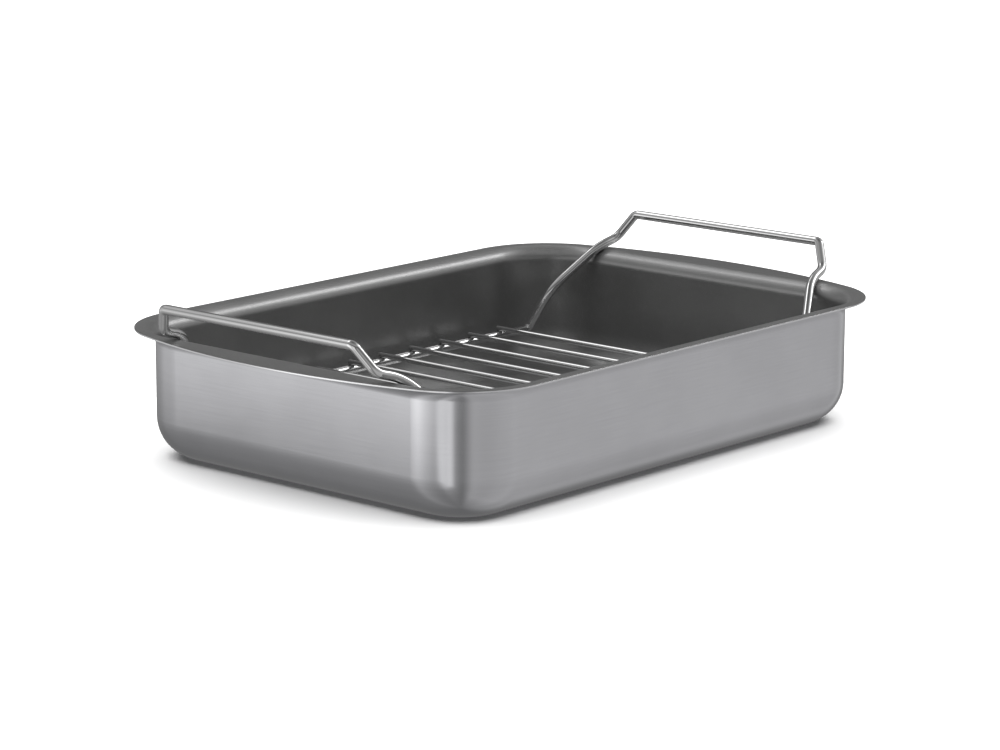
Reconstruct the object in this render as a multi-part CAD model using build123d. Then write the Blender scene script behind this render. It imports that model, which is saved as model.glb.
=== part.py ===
"""Roasting pan with a lift-out wire rack.

Origin: centre of the pan's underside, on the surface it stands on.
+X runs along the pan, +Y across it to the back, +Z up. Millimetres.
"""

from build123d import *
from math import atan2, cos, pi, sin, sqrt
import os

# Sheet metal
SHEET = 0.8                  # thickness of the drawn steel
LINING = 0.15                # thickness of the non-stick layer
EDGE_BARE = 0.5              # width of bare steel left round the flange's cut edge

# Body of the pan
BODY_LENGTH = 324.6
BODY_WIDTH = 232.4
BODY_CORNER = 35.8           # upright corners, outside
BASE_RADIUS = 22.0           # wall into base, outside
RIM_HEIGHT = 68.4            # top of the flange, lining included

# Flange
RIM_LENGTH = 370.0
RIM_WIDTH = 255.0
RIM_END_RADIUS = 328.0       # gentle curve of each end
RIM_CORNER = 49.0
LIP_RADIUS = 8.0             # inner wall into flange, on the lined side

# Rack wires
WIRE = 5.0
BAR_WIRE = 3.0
WELD_SINK = 0.3              # how far a cross bar is pressed into a rail
HANDLE_BEND = 3.5            # bend radii are on the wire's centre line
SHOULDER_BEND = 8.5
LIP_BEND = 28.0
LEG_BEND = 42.0
FOOT_BEND = 4.0

# Centre line of one leg of a bow, from the handle's corner to the foot
HANDLE_CORNER = (184.2, 64.5, 87.4)
SHOULDER = (177.3, 72.4, 74.2)
OVER_LIP = (163.0, 74.9, 70.25)
LEG_KNEE = (138.3, 89.5, 46.8)
FOOT = (133.1, 101.2, 23.7)
BUTT_WELD_X = 122.0          # where a bow meets a rail

# Cross bars
BAR_COUNT = 10
BAR_SPACING = 24.2
BAR_OVERHANG = 2.0           # past the rail's centre line, at each end

LINED_STEEL = SHEET + LINING
FLANGE_UNDERSIDE = RIM_HEIGHT - LINED_STEEL
OUTER_LIP_RADIUS = LIP_RADIUS - LINED_STEEL

# Margins for building
CLOSE = 0.01                 # heights nearer than this are the same
CLEARANCE = 1.0              # how far outside the body an edge may lie and still be its own
HEADROOM = 20.0              # air above and beyond the rim


def upright_rounded_box(length, width, corner, bottom, top):
    """Rounded rectangle in plan, from one height to another."""
    plan = Pos(0, 0, bottom) * RectangleRounded(length, width, corner)
    return extrude(plan, top - bottom)


def tub(inset, top):
    """The body's solid, drawn in from its outer skin by inset, up to a height."""
    block = upright_rounded_box(
        BODY_LENGTH - 2 * inset, BODY_WIDTH - 2 * inset, BODY_CORNER - inset, inset, top
    )
    bottom_edges = block.faces().sort_by(Axis.Z)[0].edges()
    return fillet(bottom_edges, BASE_RADIUS - inset)


def rim_outline(inset=0.0):
    """Flange in plan: straight sides, curved ends, and corner arcs tangent to both."""
    half_length = RIM_LENGTH / 2 - inset
    half_width = RIM_WIDTH / 2 - inset
    end_radius = RIM_END_RADIUS - inset
    corner = RIM_CORNER - inset
    end_centre = half_length - end_radius
    corner_y = half_width - corner
    corner_x = end_centre + sqrt((end_radius - corner) ** 2 - corner_y**2)
    meet = atan2(corner_y, corner_x - end_centre)
    tangent_x = end_centre + end_radius * cos(meet)
    tangent_y = end_radius * sin(meet)
    middle = (meet + pi / 2) / 2
    arc_x = corner_x + corner * cos(middle)
    arc_y = corner_y + corner * sin(middle)
    right_end = ThreePointArc((tangent_x, -tangent_y), (half_length, 0), (tangent_x, tangent_y))
    back_right = ThreePointArc((tangent_x, tangent_y), (arc_x, arc_y), (corner_x, half_width))
    quarter = [right_end, back_right]
    left = [mirror(edge, about=Plane.YZ) for edge in quarter]
    front = [mirror(back_right, about=Plane.XZ), mirror(left[1], about=Plane.XZ)]
    sides = [
        Line((corner_x, half_width), (-corner_x, half_width)),
        Line((corner_x, -half_width), (-corner_x, -half_width)),
    ]
    return make_face(quarter + left + front + sides)


def lip_edges(form, height):
    """Level edges at one height where the body's wall meets the flange."""
    return [
        edge
        for edge in form.edges()
        if abs(edge.center().Z - height) < CLOSE
        and edge.bounding_box().size.Z < CLOSE
        and abs(edge.center().X) < BODY_LENGTH / 2 + CLEARANCE
        and abs(edge.center().Y) < BODY_WIDTH / 2 + CLEARANCE
    ]


def outer_form():
    """Everything inside the steel's outer skin, with the flange's plate on top."""
    plate = extrude(Pos(0, 0, FLANGE_UNDERSIDE) * rim_outline(), SHEET)
    form = tub(0, FLANGE_UNDERSIDE) + plate
    return fillet(lip_edges(form, FLANGE_UNDERSIDE), OUTER_LIP_RADIUS)


def hollow(depth):
    """Air above the surface that lies depth inside the steel's outer skin."""
    surface = FLANGE_UNDERSIDE + depth
    above = upright_rounded_box(
        RIM_LENGTH + HEADROOM, RIM_WIDTH + HEADROOM, RIM_CORNER, surface, RIM_HEIGHT + HEADROOM
    )
    air = tub(depth, RIM_HEIGHT + HEADROOM / 2) + above
    return fillet(lip_edges(air, surface), OUTER_LIP_RADIUS + depth)


def pan_shell():
    """Drawn steel shell: body, lip and flange in one sheet."""
    return outer_form() - hollow(SHEET)


def nonstick_lining():
    """Thin layer over the inside and the flange's top, short of the cut edge."""
    reach = extrude(rim_outline(EDGE_BARE), RIM_HEIGHT)
    return (hollow(SHEET) - hollow(LINED_STEEL)) & reach


def wire_along(path, diameter):
    """Round wire along a path that starts with a straight run."""
    start = Plane(origin=path @ 0, z_dir=path % 0)
    return sweep(start * Circle(diameter / 2), path=path)


def rack_bow(side):
    """One end of the rack: handle, shoulders and legs in one bent wire.

    side is 1 for the bow at +X and -1 for the one at -X.
    """
    foot_x, foot_y, foot_z = FOOT
    half = [(BUTT_WELD_X, foot_y, foot_z), FOOT, LEG_KNEE, OVER_LIP, SHOULDER, HANDLE_CORNER]
    bends = [FOOT_BEND, LEG_BEND, LIP_BEND, SHOULDER_BEND, HANDLE_BEND]
    back = [(side * x, y, z) for x, y, z in half]
    front = [(side * x, -y, z) for x, y, z in reversed(half)]
    path = FilletPolyline(*back, *front, radius=bends + bends[::-1])
    return wire_along(path, WIRE)


def rack_rail(side):
    """Straight wire between the feet of the two bows, at +Y or -Y."""
    y = side * FOOT[1]
    path = Line((-BUTT_WELD_X, y, FOOT[2]), (BUTT_WELD_X, y, FOOT[2]))
    return wire_along(path, WIRE)


def cross_bar(number):
    """Thin wire laid across both rails, counted from the -X end."""
    x = (number - (BAR_COUNT - 1) / 2) * BAR_SPACING
    z = FOOT[2] + (WIRE + BAR_WIRE) / 2 - WELD_SINK
    reach = FOOT[1] + BAR_OVERHANG
    path = Line((x, -reach, z), (x, reach, z))
    return wire_along(path, BAR_WIRE)


def build():
    """Every node by name."""
    nodes = {
        "pan_shell": pan_shell(),
        "nonstick_lining": nonstick_lining(),
        "rack_bow_left": rack_bow(-1),
        "rack_bow_right": rack_bow(1),
        "rack_rail_front": rack_rail(-1),
        "rack_rail_back": rack_rail(1),
    }
    for number in range(BAR_COUNT):
        nodes[f"cross_bar_{number + 1:02d}"] = cross_bar(number)
    return nodes


os.makedirs("parts", exist_ok=True)
for name, shape in build().items():
    export_step(shape, f"parts/{name}.step")
    print(f"{name}: {shape.volume:.1f} cubic mm")
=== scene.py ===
"""Roasting pan with a lift-out wire rack, finished and lit in a plain white studio.

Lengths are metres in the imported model's own frame: the origin is the centre of the pan's
underside, on the surface it stands on, +X runs along the pan, +Y across it to the back, +Z up.
"""

import logging
import math
from collections.abc import Sequence
from dataclasses import dataclass
from enum import Enum
from typing import Any

import bpy
import numpy as np
from mathutils import Matrix, Vector


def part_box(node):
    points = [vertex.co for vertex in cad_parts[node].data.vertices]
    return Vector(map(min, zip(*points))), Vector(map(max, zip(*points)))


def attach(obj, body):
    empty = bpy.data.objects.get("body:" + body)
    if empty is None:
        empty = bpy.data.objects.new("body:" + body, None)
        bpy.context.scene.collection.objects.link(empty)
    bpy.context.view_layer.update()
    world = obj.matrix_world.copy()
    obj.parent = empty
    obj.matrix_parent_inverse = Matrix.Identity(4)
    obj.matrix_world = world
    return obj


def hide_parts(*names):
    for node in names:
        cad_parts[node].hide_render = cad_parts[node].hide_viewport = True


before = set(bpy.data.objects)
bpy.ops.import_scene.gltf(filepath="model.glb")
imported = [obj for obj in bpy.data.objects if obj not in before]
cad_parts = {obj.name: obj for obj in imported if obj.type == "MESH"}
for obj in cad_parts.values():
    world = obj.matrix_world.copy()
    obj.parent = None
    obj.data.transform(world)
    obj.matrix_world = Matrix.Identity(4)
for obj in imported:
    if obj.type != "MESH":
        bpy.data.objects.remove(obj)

LOG = logging.getLogger("roasting_pan")
MILLIMETRE = 0.001
SUPPORT = 0.4 * MILLIMETRE          # a row this far into a straight stretch keeps its shading flat
SHARP_ANGLE = math.radians(50.0)    # an edge that turns by more than this is shaded as sharp
# Share of weld tint and painted shade where wires meet, for each point of a wire.
WELD_AND_SHADE_ATTRIBUTE = "weld"
NOISE_BAND = (0.3, 0.7)             # noise seldom leaves this band, which is stretched to 0 to 1
UPWARDS = np.array([0.0, 0.0, 1.0])
Colour = tuple[float, float, float, float]


class Body(Enum):
    """The two things that move against each other."""

    PAN = "pan"
    RACK = "rack"


class Slot(Enum):
    """The record's material slots."""

    STEEL = "steel"
    NONSTICK = "nonstick"
    WIRE = "wire"


class End(Enum):
    """How a wire's ends are finished."""

    CUT = "cut and eased"
    WELDED = "butted to the next wire"


# Shader maths


class Value:
    """A socket that carries one number: arithmetic on it adds Math nodes to its tree."""

    def __init__(self, shader: "Shader", socket: bpy.types.NodeSocket) -> None:
        """Keep the socket and the tree it belongs to."""
        self.shader = shader
        self.socket = socket

    def _math(
        self, operation: str, first: "Value | float", second: "Value | float" = 0.0
    ) -> "Value":
        """Add one Math node and return its result."""
        return self.shader.node("ShaderNodeMath", {"operation": operation}, {0: first, 1: second})

    def __add__(self, other: "Value | float") -> "Value":
        """Sum."""
        return self._math("ADD", self, other)

    def __radd__(self, other: float) -> "Value":
        """Sum, with the number first."""
        return self._math("ADD", other, self)

    def __sub__(self, other: "Value | float") -> "Value":
        """Difference."""
        return self._math("SUBTRACT", self, other)

    def __rsub__(self, other: float) -> "Value":
        """Difference, with the number first."""
        return self._math("SUBTRACT", other, self)

    def __mul__(self, other: "Value | float") -> "Value":
        """Product."""
        return self._math("MULTIPLY", self, other)

    def __rmul__(self, other: float) -> "Value":
        """Product, with the number first."""
        return self._math("MULTIPLY", other, self)

    def __truediv__(self, other: "Value | float") -> "Value":
        """Quotient."""
        return self._math("DIVIDE", self, other)

    def __rtruediv__(self, other: float) -> "Value":
        """Quotient, with the number first."""
        return self._math("DIVIDE", other, self)

    def __mod__(self, other: "Value | float") -> "Value":
        """Remainder, never below zero."""
        return self._math("FLOORED_MODULO", self, other)

    def __rmod__(self, other: float) -> "Value":
        """Remainder, with the number first."""
        return self._math("FLOORED_MODULO", other, self)

    def __pow__(self, other: "Value | float") -> "Value":
        """Power."""
        return self._math("POWER", self, other)

    def __rpow__(self, other: float) -> "Value":
        """Power, with the number first."""
        return self._math("POWER", other, self)

    def size(self) -> "Value":
        """Its size without its sign."""
        return self._math("ABSOLUTE", self)

    def at_least(self, other: "Value | float") -> "Value":
        """The greater of the two."""
        return self._math("MAXIMUM", self, other)

    def at_most(self, other: "Value | float") -> "Value":
        """The lesser of the two."""
        return self._math("MINIMUM", self, other)

    def arctangent(self, other: "Value") -> "Value":
        """Angle of the direction whose X is the other and whose Y is this, in radians."""
        return self._math("ARCTAN2", self, other)

    def arcsine(self) -> "Value":
        """Angle whose sine this is, in radians."""
        return self._math("ARCSINE", self)

    def step(self, low: float, high: float) -> "Value":
        """0 below low, 1 above high and a smooth rise between them."""
        inputs = {"Value": self, "From Min": low, "From Max": high, "To Min": 0.0, "To Max": 1.0}
        return self.shader.node("ShaderNodeMapRange", {"interpolation_type": "SMOOTHSTEP"}, inputs)

    def between(self, low: float, high: float) -> "Value":
        """Stretch 0 to 1 over low to high."""
        return self * (high - low) + low

    def mixed_with(self, other: "Value", share: float) -> "Value":
        """This and another, which has the given share."""
        return self * (1.0 - share) + other * share


@dataclass(frozen=True)
class Pattern:
    """Noise that a finish is made of.

    Attributes:
        scale: Its cells for each metre.
        octaves: How many finer layers it has.
        weight: How much each finer layer counts.
        stretch: Factor for each axis: the larger it is, the finer the noise runs that way.
    """

    scale: float
    octaves: float
    weight: float = 0.5
    stretch: tuple[float, float, float] = (1.0, 1.0, 1.0)


class Shader:
    """A node tree that is filled in code, whether of a material or of the world."""

    def __init__(self, owner: bpy.types.Material | bpy.types.World) -> None:
        """Empty the owner's node tree.

        Args:
            owner: The material or world to write.
        """
        owner.use_nodes = True
        self.tree = owner.node_tree
        self.tree.nodes.clear()

    def node(
        self,
        kind: str,
        settings: dict[str, Any] | None = None,
        inputs: dict[int | str, Any] | None = None,
        output: int | str = 0,
    ) -> Value:
        """Add one node of any kind.

        Args:
            kind: The node's type name.
            settings: Its properties, set before its sockets. "stops" are a ramp's (place, grey)
                pairs.
            inputs: A value or a link for each socket, by name or number.
            output: Which output to return.

        Returns:
            The chosen output.
        """
        made = self.tree.nodes.new(kind)
        for name, setting in (settings or {}).items():
            if name == "stops":
                self._set_stops(made.color_ramp, setting)
            else:
                setattr(made, name, setting)
        for name, entry in (inputs or {}).items():
            if isinstance(entry, Value):
                self.tree.links.new(entry.socket, made.inputs[name])
            else:
                made.inputs[name].default_value = entry
        return Value(self, made.outputs[output] if made.outputs else None)

    @staticmethod
    def _set_stops(ramp: bpy.types.ColorRamp, stops: Sequence[tuple[float, float]]) -> None:
        """Give a ramp its stops, from left to right.

        Args:
            ramp: The ramp to write.
            stops: Places from 0 to 1, with a grey level each.
        """
        while len(ramp.elements) < len(stops):
            ramp.elements.new(1.0)
        for element, (place, level) in zip(ramp.elements, stops):
            element.position = place
            element.color = grey(level)

    def coordinates(self, scale: tuple[float, float, float] = (1.0, 1.0, 1.0)) -> Value:
        """Object coordinates, times a factor for each axis.

        Args:
            scale: The factors.

        Returns:
            The vector.
        """
        inputs = {"Vector": self.node("ShaderNodeTexCoord", output="Object"), "Scale": scale}
        return self.node("ShaderNodeMapping", {"vector_type": "POINT"}, inputs)

    def split(self, vector: Value) -> tuple[Value, Value, Value]:
        """A vector's three parts.

        Args:
            vector: What to take apart.

        Returns:
            Its X, Y and Z.
        """
        parts = self.node("ShaderNodeSeparateXYZ", None, {"Vector": vector}).socket.node
        x, y, z = (Value(self, part) for part in parts.outputs)
        return x, y, z

    def noise(self, pattern: Pattern) -> Value:
        """Noise from 0 to 1, read at the object's own coordinates.

        Args:
            pattern: How fine it is.

        Returns:
            The noise's level.
        """
        inputs = {
            "Vector": self.coordinates(pattern.stretch),
            "Scale": pattern.scale,
            "Detail": pattern.octaves,
            "Roughness": pattern.weight,
        }
        return self.node("ShaderNodeTexNoise", {"noise_dimensions": "3D"}, inputs)

    def tint(self, level: Value, first: Value | Colour, second: Value | Colour) -> Value:
        """Colour between two colours.

        Args:
            level: 0 for the first and 1 for the second.
            first: The first colour.
            second: The second colour.

        Returns:
            The mixed colour.
        """
        settings = {"data_type": "RGBA", "clamp_factor": True}
        return self.node("ShaderNodeMix", settings, {0: level, 6: first, 7: second}, output=2)

    def bump(self, height: Value, strength: float, depth: float) -> Value:
        """Normal of a surface whose height varies.

        Args:
            height: 0 to 1.
            strength: Share of the effect.
            depth: Height of a full step, in metres.

        Returns:
            The normal.
        """
        inputs = {"Height": height, "Strength": strength, "Distance": depth}
        return self.node("ShaderNodeBump", None, inputs)


def grey(level: float) -> Colour:
    """Neutral colour of one level."""
    return (level, level, level, 1.0)


# Finishes


@dataclass(frozen=True)
class Finish:
    """What every finish has in common: a name, a slot and one principled shader."""

    name: str
    slot: Slot

    def material(self) -> bpy.types.Material:
        """Make the material, or return it if it has been made.

        Returns:
            The material.
        """
        made = bpy.data.materials.get(self.name)
        if made is None:
            made = bpy.data.materials.new(self.name)
            shader = Shader(made)
            surface = shader.node("ShaderNodeBsdfPrincipled", None, self.surface(shader))
            shader.node("ShaderNodeOutputMaterial", None, {"Surface": surface})
        return made

    def surface(self, shader: Shader) -> dict[int | str, Any]:
        """Sockets of the principled shader.

        Args:
            shader: The tree to add textures to.

        Returns:
            Values and links by socket name.
        """
        raise NotImplementedError


@dataclass(frozen=True)
class SatinSteel(Finish):
    """Bare stainless steel with a fine level grain, drawn and then softly polished."""

    name: str = "satin_steel"
    slot: Slot = Slot.STEEL
    dark: Colour = (0.58, 0.58, 0.60, 1.0)
    light: Colour = (0.64, 0.64, 0.662, 1.0)
    # Cut edge colour: bare cut metal, lightened further as a painted highlight.
    sheared_and_highlight: Colour = (0.73, 0.73, 0.74, 1.0)
    sheared_highlight_above: float = 67.5 * MILLIMETRE
    sheared_highlight_fade: float = 0.05 * MILLIMETRE
    clouds: Pattern = Pattern(22.0, 3.0)
    grain: Pattern = Pattern(2.2, 4.0, 0.6, (12.0, 12.0, 900.0))
    grain_share: float = 0.4
    pits: Pattern = Pattern(2600.0, 1.0)
    pit_share: float = 0.3
    roughness: tuple[float, float] = (0.17, 0.21)
    roughness_band: tuple[float, float] = (0.25, 0.75)
    grain_depth: float = 0.0015 * MILLIMETRE
    grain_strength: float = 0.5

    def surface(self, shader: Shader) -> dict[int | str, Any]:
        """Clouds and a level grain vary the walls; the cut edge is bare cut metal with a painted
        highlight.
        """
        height = shader.split(shader.coordinates())[2]
        # Painted highlight: the cut edge above this height takes the lighter edge colour.
        edge = height.step(self.sheared_highlight_above, self.sheared_highlight_above + self.sheared_highlight_fade)
        clouds, grain = shader.noise(self.clouds), shader.noise(self.grain)
        relief = grain.mixed_with(shader.noise(self.pits), self.pit_share)
        level = clouds.mixed_with(grain, self.grain_share)
        wall = shader.tint(level.step(*NOISE_BAND), self.dark, self.light)
        return {
            "Base Color": shader.tint(edge, wall, self.sheared_and_highlight),
            "Metallic": 1.0,
            "Roughness": level.step(*self.roughness_band).between(*self.roughness),
            "Normal": shader.bump(relief, self.grain_strength, self.grain_depth),
        }


@dataclass(frozen=True)
class NonStick(Finish):
    """Charcoal non-stick layer: a soft sheen, a faint orange peel and fine paler specks."""

    name: str = "nonstick_charcoal"
    slot: Slot = Slot.NONSTICK
    dark: Colour = (0.262, 0.262, 0.262, 1.0)
    light: Colour = (0.288, 0.288, 0.288, 1.0)
    speck: Colour = (0.44, 0.44, 0.44, 1.0)
    metallic: float = 0.85
    clouds: Pattern = Pattern(30.0, 3.0)
    specks: Pattern = Pattern(2100.0, 1.0)
    speck_band: tuple[float, float] = (0.66, 0.74)
    speck_strength: float = 0.6
    peel: Pattern = Pattern(420.0, 2.0)
    peel_share: float = 0.5
    roughness: tuple[float, float] = (0.31, 0.35)
    peel_depth: float = 0.02 * MILLIMETRE
    peel_strength: float = 0.35

    def surface(self, shader: Shader) -> dict[int | str, Any]:
        """Clouds and specks vary the colour, and a sprayed texture breaks the sheen."""
        clouds, peel = shader.noise(self.clouds), shader.noise(self.peel)
        speck = shader.noise(self.specks).step(*self.speck_band) * self.speck_strength
        layer = shader.tint(clouds.step(*NOISE_BAND), self.dark, self.light)
        sheen = clouds.mixed_with(peel, self.peel_share).step(*NOISE_BAND)
        return {
            "Base Color": shader.tint(speck, layer, self.speck),
            "Metallic": self.metallic,
            "Roughness": sheen.between(*self.roughness),
            "Normal": shader.bump(peel, self.peel_strength, self.peel_depth),
        }


@dataclass(frozen=True)
class PolishedWire(Finish):
    """Bright drawn wire, a little duller and darker where welded: partly weld tint, partly painted
    shade where wires meet.
    """

    name: str = "polished_wire"
    slot: Slot = Slot.WIRE
    # Colour at a weld: partly the weld's own tint, partly painted shade where the wires meet.
    weld: Colour = (0.35, 0.35, 0.35, 1.0)
    bright: Colour = (0.70, 0.70, 0.70, 1.0)
    scratches: Pattern = Pattern(900.0, 3.0)
    smudges: Pattern = Pattern(60.0, 2.0)
    smudge_share: float = 0.6
    least_stain_and_shade: float = 0.5
    roughness: tuple[float, float] = (0.07, 0.12)
    weld_roughness: float = 0.22
    roughest: float = 0.6
    scratch_depth: float = 0.002 * MILLIMETRE
    scratch_strength: float = 0.25

    def surface(self, shader: Shader) -> dict[int | str, Any]:
        """The weld attribute dulls and darkens the metal, as weld tint and painted shade; faint
        scratches vary the polish.
        """
        weld_tint_and_shade = shader.node("ShaderNodeAttribute", {"attribute_name": WELD_AND_SHADE_ATTRIBUTE}, output="Fac")
        scratches, smudges = shader.noise(self.scratches), shader.noise(self.smudges)
        polish = scratches.mixed_with(smudges, self.smudge_share).step(*NOISE_BAND)
        shine = 1.0 - weld_tint_and_shade * smudges.between(self.least_stain_and_shade, 1.0)
        roughness = polish.between(*self.roughness) + weld_tint_and_shade * self.weld_roughness
        return {
            "Base Color": shader.tint(shine, self.weld, self.bright),
            "Metallic": 1.0,
            "Roughness": roughness.at_most(self.roughest),
            "Normal": shader.bump(scratches, self.scratch_strength, self.scratch_depth),
        }


# Surfaces


def arc(centre: tuple[float, float], radius: float, angles: np.ndarray) -> np.ndarray:
    """Points of an arc: centre + radius * (cosine, sine) of each angle.

    Args:
        centre: Its centre.
        radius: Its radius.
        angles: In degrees.

    Returns:
        Points, one to a row.
    """
    turned = np.radians(angles)
    return np.array(centre) + radius * np.stack([np.cos(turned), np.sin(turned)], axis=1)


def headings(angles: np.ndarray) -> np.ndarray:
    """Unit directions in plan for angles in degrees."""
    return arc((0.0, 0.0), 1.0, angles)


def level_rings(plan: np.ndarray, heights: np.ndarray | float) -> np.ndarray:
    """Rings in plan lifted to their heights.

    Args:
        plan: Rings * points * 2.
        heights: One height for each ring, or one for all.

    Returns:
        Rings * points * 3.
    """
    lifted = np.broadcast_to(np.reshape(heights, (-1, 1, 1)), (*plan.shape[:2], 1))
    return np.concatenate([plan, lifted], axis=2)


def fractions(length: float, steps: int) -> np.ndarray:
    """Places along a straight stretch, evenly spaced, with one more just inside each end.

    Args:
        length: The stretch's length.
        steps: Number of even steps.

    Returns:
        Fractions of the length, from 0 to 1.
    """
    even = np.linspace(0.0, 1.0, steps + 1)
    inside = SUPPORT / length
    return np.concatenate([[0.0, inside], even[1:-1], [1.0 - inside, 1.0]])


def closed_surface(
    name: str, rows: np.ndarray, first: np.ndarray, last: np.ndarray
) -> bpy.types.Mesh:
    """Mesh of a grid whose rows are closed rings, with a pole at each end of it.

    Point (i, j) of the grid is joined to (i, j + 1), (i + 1, j + 1) and (i + 1, j), where j wraps
    round.

    Args:
        name: The mesh's name.
        rows: Points, as rings * points * 3.
        first: The pole that closes the first ring.
        last: The pole that closes the last ring.

    Returns:
        The mesh, smooth but for its sharp corners, with its faces pointing outwards.
    """
    rings, around = rows.shape[:2]
    index = np.arange(rings * around).reshape(rings, around)
    ahead = np.roll(index, -1, axis=1)
    quads = np.stack([index[:-1], ahead[:-1], ahead[1:], index[1:]], axis=-1).reshape(-1, 4)
    first_pole = np.full(around, rings * around)
    start_cap = np.stack([first_pole, ahead[0], index[0]], axis=-1)
    end_cap = np.stack([first_pole + 1, index[-1], ahead[-1]], axis=-1)
    points = np.concatenate([rows.reshape(-1, 3), [first, last]])
    mesh = bpy.data.meshes.new(name)
    mesh.from_pydata(points.tolist(), [], quads.tolist() + start_cap.tolist() + end_cap.tolist())
    mesh.validate()
    mesh.shade_smooth()
    mesh.set_sharp_from_angle(angle=SHARP_ANGLE)
    return mesh


def place_piece(name: str, mesh: bpy.types.Mesh, finish: Finish, body: Body, node: str) -> None:
    """Put a finished piece in the scene in place of its node.

    Args:
        name: The piece's name.
        mesh: Its mesh, already in place.
        finish: Its finish.
        body: The body that it moves with.
        node: The node that it stands for.
    """
    piece = bpy.data.objects.new(name, mesh)
    bpy.context.scene.collection.objects.link(piece)
    piece.data.materials.append(finish.material())
    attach(piece, body.value)
    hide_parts(node)
    LOG.info("%s: %d faces, for %s on %s", name, len(mesh.polygons), node, body.value)


# Pan


FLOOR_SHARES = np.linspace(0.12, 0.88, 7)           # rings of the floor, from its middle outwards
FLANGE_SHARES = np.array([0.08, 0.5, 0.92, 1.0])    # rings of the flange, from the lip outwards


@dataclass
class Outline:
    """Closed curve in plan that can be moved in or out: point + distance * outward normal."""

    points: np.ndarray
    normals: np.ndarray

    def moved(self, distance: float | np.ndarray) -> np.ndarray:
        """The curve moved outwards.

        Args:
            distance: How far, for the whole curve or for each of several curves.

        Returns:
            Points, as (curves *) points * 2.
        """
        distance = np.asarray(distance)
        return self.points + distance[..., None, None] * self.normals


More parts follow.
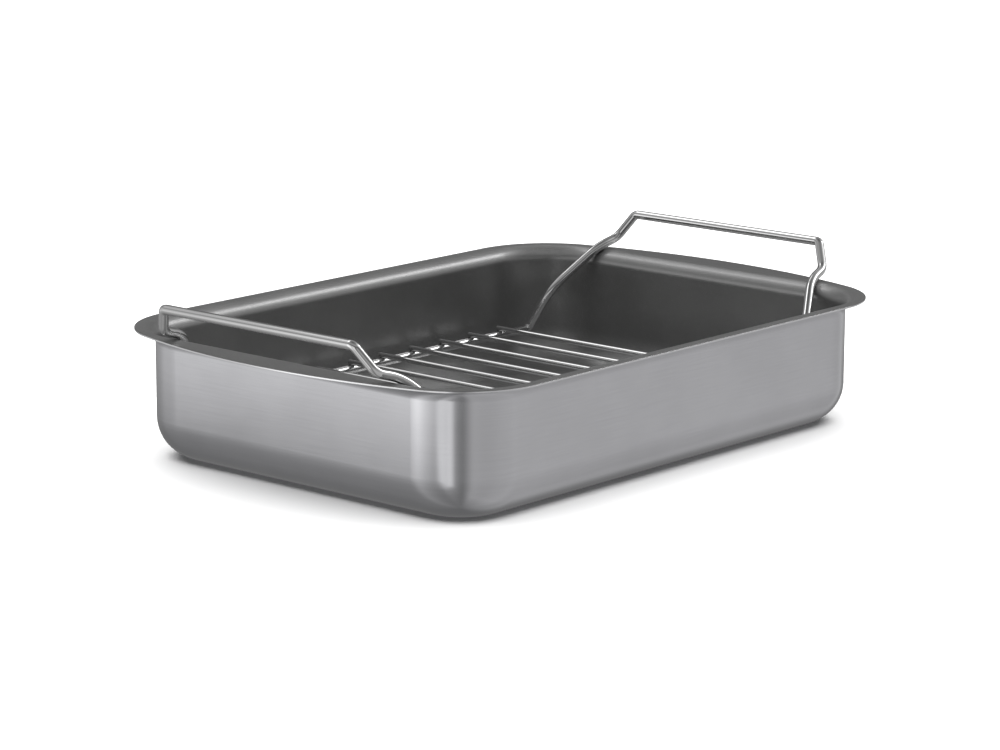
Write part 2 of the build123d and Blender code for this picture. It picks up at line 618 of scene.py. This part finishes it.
@dataclass
class RoastingPan:
    """Drawn steel pan with a flange, and the non-stick layer inside it.

    Attributes:
        edge_bare: Width of bare steel left round the flange.
        edge_round: Radius at the corners of the steel's cut edge.
        lining_round: The same for the lining, as a share of its thickness.
        edge_turn: How far those corners turn, in degrees.
        corner_steps, end_steps, side_steps: Steps in plan: a corner, an end, a long side.
        bend_steps, wall_steps, edge_steps: Steps in section: a bend, the wall, an edge's corner.
    """

    sheet: float = 0.8 * MILLIMETRE
    lining: float = 0.15 * MILLIMETRE
    edge_bare: float = 0.5 * MILLIMETRE
    edge_round: float = 0.05 * MILLIMETRE
    lining_round: float = 0.4
    body_length: float = 324.6 * MILLIMETRE
    body_width: float = 232.4 * MILLIMETRE
    body_corner: float = 35.8 * MILLIMETRE
    base_radius: float = 22.0 * MILLIMETRE
    lip_radius: float = 8.0 * MILLIMETRE
    rim_corner: float = 49.0 * MILLIMETRE
    rim_end_radius: float = 328.0 * MILLIMETRE
    edge_turn: float = 60.0
    corner_steps: int = 28
    end_steps: int = 16
    side_steps: int = 16
    bend_steps: int = 18
    wall_steps: int = 6
    edge_steps: int = 4

    def __post_init__(self) -> None:
        """Read the rim's size from the frame and work out the heights."""
        low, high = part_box("pan_shell")
        self.rim_length = high.x - low.x
        self.rim_width = high.y - low.y
        self.steel_top = high.z
        self.lip_height = self.steel_top + self.lining - self.lip_radius
        self.lip_reach = self.lip_radius - self.sheet - self.lining
        self.body = self._body_outline()
        self.rim = self._rim_outline()

    def _body_outline(self) -> Outline:
        """Outer skin in plan: the rectangle of the corners' centres, moved out by their radius.

        Each stretch runs straight from one centre to the next and then turns through a quarter
        circle.

        Returns:
            The outline, from the right end's front corner round by way of the back.
        """
        reach = np.array([self.body_length, self.body_width]) / 2 - self.body_corner
        centres = reach * np.array([(1, -1), (1, 1), (-1, 1), (-1, -1)])
        turn = np.linspace(0.0, 90.0, self.corner_steps + 1)
        spine, heading = [], []
        for quarter, (start, stop) in enumerate(zip(centres, np.roll(centres, -1, axis=0))):
            steps = self.side_steps if quarter % 2 else self.end_steps
            share = fractions(float(np.linalg.norm(stop - start)), steps)[1:-1, None]
            spine += [start + share * (stop - start), np.tile(stop, (len(turn), 1))]
            heading += [np.full(len(share), 90.0 * quarter), turn + 90.0 * quarter]
        normals = headings(np.concatenate(heading))
        return Outline(np.concatenate(spine) + self.body_corner * normals, normals)

    def _rim_outline(self) -> Outline:
        """Cut edge in plan: straight sides, gently curved ends and corner arcs tangent to both.

        Returns:
            The outline, with as many points on each stretch as the body's.
        """
        end_centre = self.rim_length / 2 - self.rim_end_radius
        centre_y = self.rim_width / 2 - self.rim_corner
        reach = self.rim_end_radius - self.rim_corner
        centre_x = end_centre + math.sqrt(reach**2 - centre_y**2)
        meet = math.degrees(math.asin(centre_y / reach))
        turn = np.linspace(meet, 90.0, self.corner_steps + 1)
        left_turn = 180.0 - turn[::-1]
        end_length = 2 * self.rim_end_radius * math.radians(meet)
        end = (fractions(end_length, self.end_steps)[1:-1] * 2 - 1) * meet
        along = fractions(2 * centre_x, self.side_steps)[1:-1] * 2 - 1
        right_end = arc((end_centre, 0.0), self.rim_end_radius, end)
        right_corner = arc((centre_x, centre_y), self.rim_corner, turn)
        left_corner = arc((-centre_x, centre_y), self.rim_corner, left_turn)
        left_end = arc((-end_centre, 0.0), self.rim_end_radius, 180.0 + end)
        back = np.stack([-along * centre_x, np.full(len(along), self.rim_width / 2)], axis=1)
        square = np.full(len(along), 90.0)
        half = [(right_end, end), (right_corner, turn), (back, square), (left_corner, left_turn)]
        other_half = [(-points, angles + 180.0) for points, angles in half[1:]]
        stretches = [*half, (left_end, 180.0 + end), *other_half]
        normals = headings(np.concatenate([angles for _, angles in stretches]))
        return Outline(np.concatenate([points for points, _ in stretches]), normals)

    def _bowl(self, depth: float) -> np.ndarray:
        """Rings of one skin from near the middle of the floor up to where the lip meets the flange.

        The floor's rings are the base ring drawn in towards the middle, and the rest are the
        body's outline moved by the profile's offset: base radius, wall, then the lip, which turns
        outwards.

        Args:
            depth: How far the skin lies inside the steel's outer skin.

        Returns:
            Rings * points * 3.
        """
        turn = np.linspace(0.0, 90.0, self.bend_steps + 1)
        base = arc((-self.base_radius, self.base_radius), self.base_radius - depth, turn - 90.0)
        lip = arc((self.lip_reach, self.lip_height), self.lip_reach + depth, 180.0 - turn)
        rise = fractions(self.lip_height - self.base_radius, self.wall_steps)[1:-1, None]
        wall = base[-1] + rise * (lip[0] - base[-1])
        profile = np.concatenate([base, wall, lip])
        plan = self.body.moved(profile[:, 0])
        share = np.append(FLOOR_SHARES, 1.0 - SUPPORT / self.base_radius)
        floor = share[:, None, None] * plan[0]
        return np.concatenate([level_rings(floor, depth), level_rings(plan, profile[:, 1])])

    def _flange(self, height: float, inset: float) -> np.ndarray:
        """Rings of a flat flange skin, from just past the lip to its edge: two outlines mixed.

        Args:
            height: The skin's height.
            inset: How far inside the cut edge it ends.

        Returns:
            Rings * points * 3.
        """
        share = FLANGE_SHARES[:, None, None]
        plan = (1 - share) * self.body.moved(self.lip_reach) + share * self.rim.moved(-inset)
        return level_rings(plan, height)

    def _edge(self, low: float, high: float, inset: float, rounding: float) -> np.ndarray:
        """Rings round a sheet's cut edge: the outline moved in by the offset of its eased corners.

        Args:
            low: Height of the underside.
            high: Height of the top.
            inset: How far inside the rim the edge stands.
            rounding: Radius at each corner.

        Returns:
            Rings * points * 3, from the underside to the top.
        """
        turn = np.linspace(0.0, self.edge_turn, self.edge_steps + 1)
        lower = arc((-rounding, low + rounding), rounding, turn - self.edge_turn)
        upper = arc((-rounding, high - rounding), rounding, turn)
        profile = np.concatenate([lower, upper])
        return level_rings(self.rim.moved(profile[:, 0] - inset), profile[:, 1])

    def _skin_pair(self, under: float, over: float, inset: float, rounding: float) -> np.ndarray:
        """Rings of a closed sheet: up one skin, round the edge and back down the other.

        Args:
            under: Depth of the first skin inside the steel's outer skin.
            over: Depth of the second.
            inset: How far inside the rim the sheet ends.
            rounding: Radius at the edge's corners.

        Returns:
            Rings * points * 3.
        """
        flange_under = self.steel_top - self.sheet
        low, high = flange_under + under, flange_under + over
        return np.concatenate([
            self._bowl(under),
            self._flange(low, inset + rounding),
            self._edge(low, high, inset, rounding),
            self._flange(high, inset + rounding)[::-1],
            self._bowl(over)[::-1],
        ])

    def build(self) -> None:
        """Make the steel shell and its lining."""
        shell = self._skin_pair(0.0, self.sheet, 0.0, self.edge_round)
        mesh = closed_surface("steel_shell", shell, np.zeros(3), self.sheet * UPWARDS)
        place_piece("steel_shell", mesh, SatinSteel(), Body.PAN, "pan_shell")
        lined = self.sheet + self.lining
        rounding = self.lining * self.lining_round
        layer = self._skin_pair(self.sheet, lined, self.edge_bare, rounding)
        mesh = closed_surface("charcoal_lining", layer, self.sheet * UPWARDS, lined * UPWARDS)
        place_piece("charcoal_lining", mesh, NonStick(), Body.PAN, "nonstick_lining")


# Rack


@dataclass(frozen=True)
class Weld:
    """How the metal swells where another wire is welded on.

    Attributes:
        flash: How far it swells.
        spread: How far that reaches along the wire.
        facing: The way to the other wire.
    """

    flash: float
    spread: float
    facing: tuple[float, float, float]


BUTT_WELD = Weld(0.05 * MILLIMETRE, 1.0 * MILLIMETRE, (0.0, 0.0, 1.0))
RAIL_WELD = Weld(0.12 * MILLIMETRE, 1.5 * MILLIMETRE, (0.0, 0.0, 1.0))
BAR_WELD = Weld(0.35 * MILLIMETRE, 1.7 * MILLIMETRE, (0.0, 0.0, -1.0))
WELD_ROWS = np.linspace(-2.5, 2.5, 21)      # rings round a weld, in shares of its spread
CUT_EASING = 0.45 * MILLIMETRE
EASING_ROWS = 6                             # rings over a cut end's easing
BAR_STEP = 8.0 * MILLIMETRE                 # between rings on a straight wire
RUN_STEP = 10.0 * MILLIMETRE                # between rings on a bent wire's straight runs
FEWEST_RUN_STEPS = 2
FEWEST_BEND_STEPS = 4
PLACE_DECIMALS = 7                          # rings that agree this far are one
BOW_ACROSS = np.array([-0.7, 0.0, 0.7])     # never along the wire; for the bow at +X


@dataclass
class Wire:
    """Round wire along a centre line, thicker on the side where another wire is welded to it."""

    name: str
    node: str
    route: np.ndarray
    diameter: float
    across: np.ndarray
    ends: End
    sides: int

    def build(self, welds: np.ndarray, weld: Weld) -> None:
        """Sweep the wire and put it in the scene.

        A ring's point is centre + radius * (cosine * a + sine * b), where b is square to the wire
        and to the across vector, and a is square to both. Near a weld the radius grows by
        flash * exp(-(distance / spread)^2) * the square of how much the point faces the other
        wire, and at an eased end it falls as a quarter circle.

        Args:
            welds: Points where other wires are welded on, one to a row.
            weld: How the metal swells there.
        """
        tangent = np.gradient(self.route, axis=0)
        tangent /= np.linalg.norm(tangent, axis=1, keepdims=True)
        first = self.across - (tangent @ self.across)[:, None] * tangent
        first /= np.linalg.norm(first, axis=1, keepdims=True)
        second = np.cross(tangent, first)
        angle = np.linspace(0.0, 2 * np.pi, self.sides, endpoint=False)[None, :, None]
        spoke = np.cos(angle) * first[:, None] + np.sin(angle) * second[:, None]
        gap = np.linalg.norm(self.route[:, None] - welds[None], axis=2).min(axis=1)
        near = np.exp(-((gap / weld.spread) ** 2))[:, None]
        toward = np.clip(spoke @ np.array(weld.facing), 0.0, 1.0) ** 2
        radius = self.diameter / 2 * self._end_easing()[:, None] + weld.flash * near * toward
        rows = self.route[:, None] + radius[..., None] * spoke
        mesh = closed_surface(self.name, rows, self.route[0], self.route[-1])
        # Where the wires meet, this share is painted darker: weld tint and painted shade.
        weld_tint_and_shade = np.append((near * toward).ravel(), [0.0, 0.0])
        weld_and_shade_layer = mesh.attributes.new(WELD_AND_SHADE_ATTRIBUTE, "FLOAT", "POINT")
        weld_and_shade_layer.data.foreach_set("value", weld_tint_and_shade.astype(np.float32))
        place_piece(self.name, mesh, PolishedWire(), Body.RACK, self.node)

    def _end_easing(self) -> np.ndarray:
        """Share of the radius at each point: 1, or a quarter circle down towards a cut end."""
        if self.ends is End.WELDED:
            return np.ones(len(self.route))
        steps = np.linalg.norm(np.diff(self.route, axis=0), axis=1)
        travel = np.append(0.0, np.cumsum(steps))
        inside = np.minimum(travel, travel[-1] - travel)
        short = np.clip(1.0 - inside / CUT_EASING, 0.0, 1.0)
        loss = CUT_EASING * (1.0 - np.sqrt(1.0 - short**2))
        return 1.0 - loss / (self.diameter / 2)


def straight_route(
    start: np.ndarray, stop: np.ndarray, welds: np.ndarray, spread: float
) -> np.ndarray:
    """Points along a straight wire, close together at its ends and at its welds.

    Args:
        start: First end.
        stop: Last end.
        welds: Distances from the start at which other wires are welded on.
        spread: How far each weld's swelling reaches.

    Returns:
        Points, one to a row.
    """
    length = float(np.linalg.norm(stop - start))
    ease = CUT_EASING * (1 - np.cos(np.radians(np.linspace(0.0, 90.0, EASING_ROWS))))
    even = np.linspace(0.0, length, int(length / BAR_STEP))
    fine = (welds[:, None] + WELD_ROWS * spread).ravel()
    places = np.concatenate([ease, length - ease, even, fine])
    travel = np.unique(np.round(places, PLACE_DECIMALS))
    travel = travel[(travel >= 0.0) & (travel <= length)]
    return start + travel[:, None] / length * (stop - start)


def straight_between(start: np.ndarray, stop: np.ndarray) -> np.ndarray:
    """Points inside a straight run: one near its start, one near its end, some between.

    Args:
        start: The run's start.
        stop: Its end.

    Returns:
        Points, one to a row, without the run's own ends.
    """
    length = float(np.linalg.norm(stop - start))
    places = fractions(length, max(FEWEST_RUN_STEPS, int(length / RUN_STEP)))[1:-1]
    return start + places[:, None] * (stop - start)


def bent_route(corners: np.ndarray, radii: Sequence[float], turn_step: float) -> np.ndarray:
    """Points along straight runs joined by arcs that are tangent to both.

    An arc starts radius * tan(turn / 2) before its corner, and its points are
    start + radius * (sine * u + (1 - cosine) * w), where u is the way in and w is square to u, on
    the side of the way out.

    Args:
        corners: The route's corner points, ends included.
        radii: One for each corner between the ends.
        turn_step: Largest turn from one point to the next, in degrees.

    Returns:
        Points, one to a row.
    """
    pieces = [corners[:1]]
    ways = np.diff(corners, axis=0)
    ways /= np.linalg.norm(ways, axis=1, keepdims=True)
    for corner, radius, way_in, way_out in zip(corners[1:-1], radii, ways[:-1], ways[1:]):
        turn = math.acos(float(np.clip(way_in @ way_out, -1.0, 1.0)))
        start = corner - radius * math.tan(turn / 2) * way_in
        inward = (way_out - math.cos(turn) * way_in) / math.sin(turn)
        steps = max(FEWEST_BEND_STEPS, math.ceil(math.degrees(turn) / turn_step))
        angle = np.linspace(0.0, turn, steps + 1)[:, None]
        bend = start + radius * (np.sin(angle) * way_in + (1 - np.cos(angle)) * inward)
        pieces += [straight_between(pieces[-1][-1], bend[0]), bend]
    pieces += [straight_between(pieces[-1][-1], corners[-1]), corners[-1:]]
    return np.concatenate(pieces)


@dataclass
class WireRack:
    """Lift-out rack: two bent bows that carry the handles, two rails and ten cross bars."""

    wire: float = 5.0 * MILLIMETRE
    wire_sides: int = 28
    bar_wire: float = 3.0 * MILLIMETRE
    bar_sides: int = 22
    weld_sink: float = 0.3 * MILLIMETRE
    bar_count: int = 10
    bar_spacing: float = 24.2 * MILLIMETRE
    butt_weld: float = 122.0 * MILLIMETRE
    handle_corner: tuple[float, float, float] = (0.1842, 0.0645, 0.0874)
    shoulder: tuple[float, float, float] = (0.1773, 0.0724, 0.0742)
    over_lip: tuple[float, float, float] = (0.1630, 0.0749, 0.07025)
    leg_knee: tuple[float, float, float] = (0.1383, 0.0895, 0.0468)
    foot: tuple[float, float, float] = (0.1331, 0.1012, 0.0237)
    bends: tuple[float, ...] = (0.004, 0.042, 0.028, 0.0085, 0.0035)
    turn_step: float = 4.0

    def _bow(self, side: int) -> None:
        """One end of the rack in a single wire: leg, shoulder, handle, shoulder, leg.

        Args:
            side: 1 at +X and -1 at -X.
        """
        start = (self.butt_weld, self.foot[1], self.foot[2])
        leg = [start, self.foot, self.leg_knee, self.over_lip]
        half = np.array([*leg, self.shoulder, self.handle_corner]) * [side, 1, 1]
        corners = np.concatenate([half, half[::-1] * [1, -1, 1]])
        route = bent_route(corners, self.bends + self.bends[::-1], self.turn_step)
        name = "handle_bow_right" if side > 0 else "handle_bow_left"
        node = "rack_bow_right" if side > 0 else "rack_bow_left"
        across = BOW_ACROSS * [side, 1, 1]
        bow = Wire(name, node, route, self.wire, across, End.WELDED, self.wire_sides)
        bow.build(route[[0, -1]], BUTT_WELD)

    def _rail(self, side: int) -> None:
        """Straight wire that the cross bars lie on.

        Args:
            side: 1 at the back and -1 at the front.
        """
        start = np.array([-self.butt_weld, side * self.foot[1], self.foot[2]])
        bars = self._bar_places()
        welds = np.tile(start, (len(bars), 1))
        welds[:, 0] = bars
        route = straight_route(start, start * [-1, 1, 1], bars + self.butt_weld, RAIL_WELD.spread)
        name = "long_rail_back" if side > 0 else "long_rail_front"
        node = "rack_rail_back" if side > 0 else "rack_rail_front"
        rail = Wire(name, node, route, self.wire, UPWARDS, End.WELDED, self.wire_sides)
        rail.build(welds, RAIL_WELD)

    def _bar_places(self) -> np.ndarray:
        """Each bar's place along the pan, evenly spaced about the middle."""
        return (np.arange(self.bar_count) - (self.bar_count - 1) / 2) * self.bar_spacing

    def _bar(self, number: int, place: float) -> None:
        """Thin wire across both rails.

        Args:
            number: Counted from 1 at the -X end.
            place: Where it lies along the pan.
        """
        node = f"cross_bar_{number:02d}"
        name = f"grid_bar_{number:02d}"
        low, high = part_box(node)
        height = self.foot[2] + (self.wire + self.bar_wire) / 2 - self.weld_sink
        rails = np.array([[place, side * self.foot[1], height] for side in (-1, 1)])
        start, stop = np.array([place, low.y, height]), np.array([place, high.y, height])
        route = straight_route(start, stop, rails[:, 1] - low.y, BAR_WELD.spread)
        bar = Wire(name, node, route, self.bar_wire, UPWARDS, End.CUT, self.bar_sides)
        bar.build(rails, BAR_WELD)

    def build(self) -> None:
        """Make every wire of the rack."""
        for side in (-1, 1):
            self._bow(side)
            self._rail(side)
        for number, place in enumerate(self._bar_places(), start=1):
            self._bar(number, float(place))


# Studio


@dataclass(frozen=True)
class Panel:
    """Soft light seen in reflections, with its angles in degrees.

    Attributes:
        azimuth: Where its middle is, from +X round by way of +Y.
        half_width: How far it reaches on either side.
        low, high: The elevations that it lies between.
        level: How bright it is.
        soft: How far its edges fade, inwards and outwards.
    """

    azimuth: float
    half_width: float
    low: float
    high: float
    level: float
    soft: float

    def glow(self, x: Value, y: Value, flat: Value, elevation: Value) -> Value:
        """Its share of the light from a direction: a smooth window in azimuth and in elevation.

        Args:
            x: The direction's part along X.
            y: Its part along Y.
            flat: Length of its level part.
            elevation: Its angle above the horizon, in degrees.

        Returns:
            The light.
        """
        heading = math.radians(self.azimuth)
        facing = (x * math.cos(heading) + y * math.sin(heading)) / flat
        outer = math.cos(math.radians(min(self.half_width + self.soft, 180.0)))
        inner = math.cos(math.radians(max(self.half_width - self.soft, 0.0)))
        rise = elevation.step(self.low - self.soft, self.low + self.soft)
        fall = elevation.step(self.high - self.soft, self.high + self.soft)
        return facing.step(outer, inner) * rise * (1.0 - fall) * self.level


@dataclass(frozen=True)
class Ring:
    """Band of light round the object whose level changes with the azimuth.

    Attributes:
        levels: At even steps from +X round by way of +Y, and read between them.
        rise, fall: Elevations over which the band starts and ends, in degrees.
    """

    levels: tuple[float, ...]
    rise: tuple[float, float]
    fall: tuple[float, float]

    def glow(self, shader: Shader, turn: Value, elevation: Value) -> Value:
        """Its share of the light from a direction: the azimuth's level times its window.

        Args:
            shader: The world's tree.
            turn: The direction's azimuth, in whole turns from 0 to 1.
            elevation: Its angle above the horizon, in degrees.

        Returns:
            The light.
        """
        count = len(self.levels)
        stops = [(step / count, self.levels[step % count]) for step in range(count + 1)]
        level = shader.node("ShaderNodeValToRGB", {"stops": stops}, {"Fac": turn})
        return level * elevation.step(*self.rise) * (1.0 - elevation.step(*self.fall))


@dataclass(frozen=True)
class Studio:
    """White studio: soft lights round the pan, a ceiling light, a pale floor and a painted shadow
    under the pan.

    Attributes:
        backdrop: How bright the camera sees what lies past the floor.
        painted_shadow_level: How bright polished metal sees the floor under the pan, where a shadow
            is painted.
        painted_shadow_inset: How far inside the flange that footprint ends, along the pan and
            across.
        painted_shadow_reach: How far it takes to fade out past an end, the front and the back.
        painted_shadow_fade: The power of that fade.
        least_flat: Keeps a direction straight up or down from being divided by nothing.
        sky: Levels by elevation, in degrees.
    """

    floor_size: float = 3.4
    floor_level: float = 0.92
    backdrop: float = 1.1
    ceiling_size: float = 4.2
    ceiling_height: float = 2.2
    ceiling_power: float = 214.0
    painted_shadow_level: float = 0.19
    painted_shadow_inset: tuple[float, float] = (0.0447, 0.0273)
    painted_shadow_reach: tuple[float, float, float] = (0.28, 0.016, 0.25)
    painted_shadow_fade: float = 0.79
    least_flat: float = 1e-6
    sky: tuple[tuple[float, float], ...] = (
        (-90.0, 0.20), (-50.0, 0.18), (-25.0, 0.19), (-10.0, 0.25), (0.0, 0.12),
        (12.0, 0.16), (25.0, 0.10), (45.0, 0.40), (70.0, 0.23), (90.0, 0.10),
    )
    rings: tuple[Ring, ...] = (
        Ring(
            (0.36, 0.16, 0.02, 0.03, 0.10, 0.14, 0.24, 0.44, 0.44, 0.54, 1.28, 0.82,
             0.50, 0.48, 0.16, 0.00, 0.32, 0.28, 0.28, 0.31, 0.32, 0.35, 0.30, 0.27),
            (-100.0, -91.0), (0.0, 30.0),
        ),
        Ring(
            (0.10, 0.00, 0.00, 0.00, 0.00, 0.20, 0.30, 0.10, 0.00, 0.00, 0.00, 0.00,
             0.00, 0.00, 0.00, 0.35, 0.75, 0.50),
            (0.0, 30.0), (46.0, 66.0),
        ),
    )
    panels: tuple[Panel, ...] = (
        Panel(335.0, 8.0, 27.0, 41.0, 4.5, 3.0),
        Panel(98.0, 13.0, 49.0, 60.0, 2.4, 5.0),
        Panel(67.0, 12.0, 46.0, 57.0, 1.1, 5.0),
        Panel(141.0, 4.0, -20.0, 20.0, 0.24, 2.5),
        Panel(193.0, 8.0, -32.0, 14.0, 0.24, 3.0),
        Panel(206.0, 4.0, -26.0, 14.0, 0.50, 2.0),
    )

    def _light(self, shader: Shader) -> Value:
        """Light from each direction: the sky's level there, plus the rings and the panels.

        Args:
            shader: The world's tree.

        Returns:
            The light.
        """
        x, y, z = shader.split(shader.node("ShaderNodeTexCoord", output="Generated"))
        flat = (1.0 - z * z).at_least(self.least_flat) ** 0.5
        elevation = z.arcsine() * math.degrees(1.0)
        turn = y.arctangent(x) / (2 * math.pi) % 1.0
        height = (elevation + 90.0) / 180.0
        stops = [((angle + 90.0) / 180.0, level) for angle, level in self.sky]
        light = shader.node("ShaderNodeValToRGB", {"stops": stops}, {"Fac": height})
        for ring in self.rings:
            light = light + ring.glow(shader, turn, elevation)
        for panel in self.panels:
            light = light + panel.glow(x, y, flat, elevation)
        return light

    def _world(self) -> None:
        """Surround the scene with its light, and with plain white for the camera."""
        world = bpy.data.worlds.new("white_studio")
        bpy.context.scene.world = world
        world.cycles_visibility.diffuse = False
        shader = Shader(world)
        seen = shader.node("ShaderNodeLightPath", output="Is Camera Ray")
        level = self._light(shader) * (1.0 - seen) + seen * self.backdrop
        glow = shader.node("ShaderNodeBackground", None, {"Color": grey(1.0), "Strength": level})
        shader.node("ShaderNodeOutputWorld", None, {"Surface": glow})

    def _ground(self, name: str, half: float) -> bpy.types.Object:
        """Square on the ground.

        Args:
            name: Its name.
            half: Half its side.

        Returns:
            The object.
        """
        points = [(-half, -half, 0.0), (half, -half, 0.0), (half, half, 0.0), (-half, half, 0.0)]
        mesh = bpy.data.meshes.new(name)
        mesh.from_pydata(points, [], [(0, 1, 2, 3)])
        ground = bpy.data.objects.new(name, mesh)
        bpy.context.scene.collection.objects.link(ground)
        return ground

    def _floor(self) -> None:
        """Plain pale floor, level with the pan's underside."""
        floor = self._ground("floor", self.floor_size / 2)
        floor.visible_glossy = False
        pale = bpy.data.materials.new("pale_floor")
        shader = Shader(pale)
        matt = shader.node("ShaderNodeBsdfDiffuse", None, {"Color": grey(self.floor_level)})
        shader.node("ShaderNodeOutputMaterial", None, {"Surface": matt})
        floor.data.materials.append(pale)

    def _painted_floor_shadow(self, half_length: float, half_width: float) -> None:
        """What polished metal sees of the floor: a painted shadow, dark under the pan and fading
        out round it.

        The fade runs with the distance outside the footprint, measured in shares of the reach
        past an end, past the front and past the back.

        Args:
            half_length: Half the footprint's length.
            half_width: Half its width.
        """
        end_reach, front_reach, back_reach = self.painted_shadow_reach
        shadow_card = self._ground("painted_shadow_in_reflections", half_length + end_reach)
        shadow_card.visible_camera = False
        shadow_card.visible_diffuse = False
        shadow_card.visible_shadow = False
        painted_shadow = bpy.data.materials.new("painted_shadow_in_reflections")
        shader = Shader(painted_shadow)
        x, y, _ = shader.split(shader.node("ShaderNodeTexCoord", output="Object"))
        past_end = (x.size() - half_length).at_least(0.0) / end_reach
        past_front = (0.0 - y - half_width).at_least(0.0) / front_reach
        past_back = (y - half_width).at_least(0.0) / back_reach
        past_side = past_front + past_back
        past = (past_end * past_end + past_side * past_side) ** 0.5
        away = past.at_most(1.0) ** self.painted_shadow_fade
        clear = shader.node("ShaderNodeBsdfTransparent")
        # Painted shadow: a dark glowing card in place of the floor's shade under the pan.
        dark = shader.node("ShaderNodeEmission", None, {"Color": grey(self.painted_shadow_level)})
        mixed = shader.node("ShaderNodeMixShader", None, {0: away, 1: dark, 2: clear})
        shader.node("ShaderNodeOutputMaterial", None, {"Surface": mixed})
        shadow_card.data.materials.append(painted_shadow)

    def _ceiling(self) -> None:
        """Large soft light overhead, which reflections don't show."""
        data = bpy.data.lights.new("ceiling_light", "AREA")
        data.shape = "SQUARE"
        data.size = self.ceiling_size
        data.energy = self.ceiling_power
        light = bpy.data.objects.new("ceiling_light", data)
        light.location.z = self.ceiling_height
        light.visible_glossy = False
        light.visible_camera = False
        bpy.context.scene.collection.objects.link(light)

    def build(self) -> None:
        """Light the scene and lay the floor."""
        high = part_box("pan_shell")[1]
        self._world()
        self._floor()
        self._painted_floor_shadow(high.x - self.painted_shadow_inset[0], high.y - self.painted_shadow_inset[1])
        self._ceiling()
        bpy.context.scene.view_settings.view_transform = "Standard"


@dataclass(frozen=True)
class Viewpoint:
    """Where the photograph was taken from: angles in degrees, lengths in metres, lens in mm."""

    azimuth: float = 311.2244
    elevation: float = 12.4648
    roll: float = 0.1765
    distance: float = 1.8269
    aim: tuple[float, float, float] = (0.00252, 0.00780, 0.03183)
    lens: float = 125.3
    sensor: float = 36.0
    nearest: float = 0.05
    farthest: float = 100.0

    def build(self) -> None:
        """Set up the camera: it looks at the aim from the distance, turned about its axis."""
        azimuth, elevation = math.radians(self.azimuth), math.radians(self.elevation)
        level = math.cos(elevation)
        back = Vector((math.sin(azimuth) * level, -math.cos(azimuth) * level, math.sin(elevation)))
        data = bpy.data.cameras.new("photograph_view")
        data.sensor_fit = "HORIZONTAL"
        data.sensor_width = self.sensor
        data.lens = self.lens
        data.clip_start, data.clip_end = self.nearest, self.farthest
        camera = bpy.data.objects.new("photograph_view", data)
        bpy.context.scene.collection.objects.link(camera)
        roll = Matrix.Rotation(math.radians(self.roll), 3, "Z")
        turned = back.to_track_quat("Z", "Y").to_matrix() @ roll
        place = Matrix.Translation(Vector(self.aim) + back * self.distance)
        camera.matrix_world = place @ turned.to_4x4()
        bpy.context.scene.camera = camera


def main() -> None:
    """Build the pan, the rack and the studio."""
    logging.basicConfig(level=logging.INFO, format="%(message)s")
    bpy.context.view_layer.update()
    RoastingPan().build()
    WireRack().build()
    Studio().build()
    Viewpoint().build()


if __name__ == "__main__":
    main()
